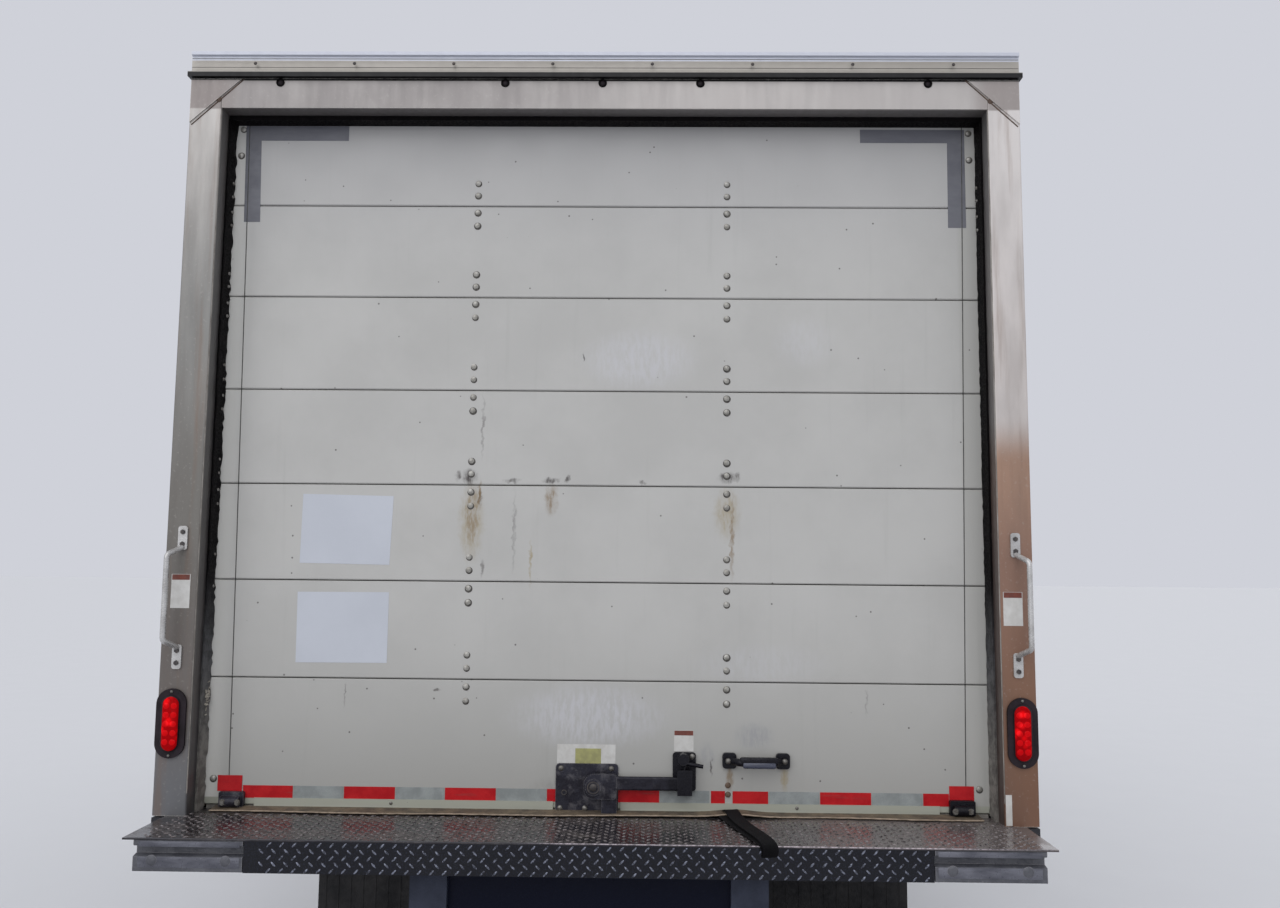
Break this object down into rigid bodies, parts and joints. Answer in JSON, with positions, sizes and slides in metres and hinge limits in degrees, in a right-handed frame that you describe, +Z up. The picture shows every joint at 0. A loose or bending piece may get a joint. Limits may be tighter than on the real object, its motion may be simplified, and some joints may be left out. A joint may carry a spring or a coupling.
{
  "type": "box truck",
  "caption": "White conventional-cab box truck: closed load body with a roll-up rear door in a steel doorway, and a chequer-plate step.",
  "frame": {"origin": "on the ground, midway between the ends and on the centre plane", "axes": "+X forward along the truck, +Y to its left, +Z up"},
  "size_m": [9.8, 2.77, 3.457],
  "materials": {
    "body_white": "gloss, weathered",
    "cab_white": "gloss",
    "doorway_steel": "stained stainless",
    "cap_metal": "oxidised",
    "door_skin": "satin, scuffed",
    "black_rubber": "matte",
    "black_hardware": "satin",
    "webbing": "woven",
    "red_lens": "clear moulded",
    "amber_lens": "clear moulded",
    "tread_black": "worn chequer plate",
    "end_grey": "weathered",
    "chassis_black": "satin",
    "cast_grey": "as cast",
    "tyre": "matte",
    "rim_white": "satin",
    "glass": "tinted",
    "mirror_black": "moulded",
    "dash_grey": "grained",
    "seat_cloth": "woven",
    "tank_metal": "brushed",
    "exhaust_steel": "heat stained",
    "deck_wood": "worn",
    "bumper_white": "gloss",
    "grille_chrome": "polished",
    "lamp_clear": "clear moulded"
  },
  "bodies": {
    "root": {"chassis_frame": "chassis_black", "front_axle": "cast_grey", "front_springs": "chassis_black", "rear_axle": "cast_grey", "rear_springs": "chassis_black", "driveshaft": "chassis_black", "engine": "cast_grey", "radiator": "chassis_black", "fuel_tank": "tank_metal", "battery_box": "black_hardware", "cab_steps": "tank_metal", "exhaust": "exhaust_steel", "front_bumper": "bumper_white", "bottom_rails": "body_white", "body_subframe": "chassis_black", "body_floor": "deck_wood", "rear_frame": "doorway_steel", "rear_cap": "cap_metal", "door_seals": "black_rubber", "door_hardware": "black_hardware", "rear_door": "door_skin", "pull_strap": "webbing", "grab_handles": "doorway_steel", "tail_lamps": "red_lens", "step_tread": "tread_black", "step_ends": "end_grey", "rear_guard": "chassis_black", "mud_flaps": "black_rubber", "marker_lamps": "amber_lens", "body_front_wall": "body_white", "body_side_left": "body_white", "body_side_right": "body_white", "body_roof": "body_white", "cab_front": "cab_white", "cab_rear": "cab_white", "cab_glass": "glass", "dashboard": "dash_grey", "seats": "seat_cloth"},
    "knuckle_left": {"knuckle_left": "cast_grey"},
    "knuckle_right": {"knuckle_right": "cast_grey"},
    "tie_rod": {"tie_rod": "chassis_black"},
    "steering_wheel": {"steering_wheel": "dash_grey"},
    "front_wheel_left": {"front_tyre_left": "tyre", "front_rim_left": "rim_white"},
    "front_wheel_right": {"front_tyre_right": "tyre", "front_rim_right": "rim_white"},
    "rear_wheels_left": {"rear_tyre_left": "tyre", "rear_rim_left": "rim_white"},
    "rear_wheels_right": {"rear_tyre_right": "tyre", "rear_rim_right": "rim_white"},
    "door_left": {"door_left": "cab_white", "door_glass_left": "glass", "mirror_left": "mirror_black"},
    "door_right": {"door_right": "cab_white", "door_glass_right": "glass", "mirror_right": "mirror_black"},
    "hood": {"hood": "cab_white", "headlamps": "lamp_clear", "grille": "grille_chrome"}
  },
  "joints": [
    {"name": "steer_left", "type": "hinge", "parent": "root", "child": "knuckle_left", "pos_m": [3.8, 0.85, 0.465], "axis": [0, 0, 1], "range_deg": [-35, 35]},
    {"name": "steer_right", "type": "hinge", "parent": "root", "child": "knuckle_right", "pos_m": [3.8, -0.85, 0.465], "axis": [0, 0, 1], "range_deg": [-35, 35]},
    {"name": "track_rod", "type": "hinge", "parent": "knuckle_left", "child": "tie_rod", "pos_m": [3.615, 0.85, 0.34], "axis": [0, 0, 1], "range_deg": [-35, 35]},
    {"name": "steering_wheel_turn", "type": "hinge", "parent": "root", "child": "steering_wheel", "pos_m": [3.03, 0.43, 1.5], "axis": [-0.8601, 0, 0.5101], "range_deg": [-630, 630]},
    {"name": "front_left_spin", "type": "hinge", "parent": "knuckle_left", "child": "front_wheel_left", "pos_m": [3.8, 0.985, 0.465], "axis": [0, 1, 0], "continuous": true},
    {"name": "front_right_spin", "type": "hinge", "parent": "knuckle_right", "child": "front_wheel_right", "pos_m": [3.8, -0.985, 0.465], "axis": [0, 1, 0], "continuous": true},
    {"name": "rear_left_spin", "type": "hinge", "parent": "root", "child": "rear_wheels_left", "pos_m": [-2.355, 0.925, 0.465], "axis": [0, 1, 0], "continuous": true},
    {"name": "rear_right_spin", "type": "hinge", "parent": "root", "child": "rear_wheels_right", "pos_m": [-2.355, -0.925, 0.465], "axis": [0, 1, 0], "continuous": true},
    {"name": "door_left_swing", "type": "hinge", "parent": "root", "child": "door_left", "pos_m": [3.154, 1.049, 1.5], "axis": [0, 0, -1], "range_deg": [0, 65]},
    {"name": "door_right_swing", "type": "hinge", "parent": "root", "child": "door_right", "pos_m": [3.154, -1.049, 1.5], "axis": [0, 0, 1], "range_deg": [0, 65]},
    {"name": "hood_tilt", "type": "hinge", "parent": "root", "child": "hood", "pos_m": [4.74, 0, 0.775], "axis": [0, 1, 0], "range_deg": [0, 60]}
  ],
  "couplings": [
    {"joint": "steer_right", "follows": "steer_left", "ratio": 1},
    {"joint": "track_rod", "follows": "steer_left", "ratio": -1},
    {"joint": "steering_wheel_turn", "follows": "steer_left", "ratio": 18}
  ]
}
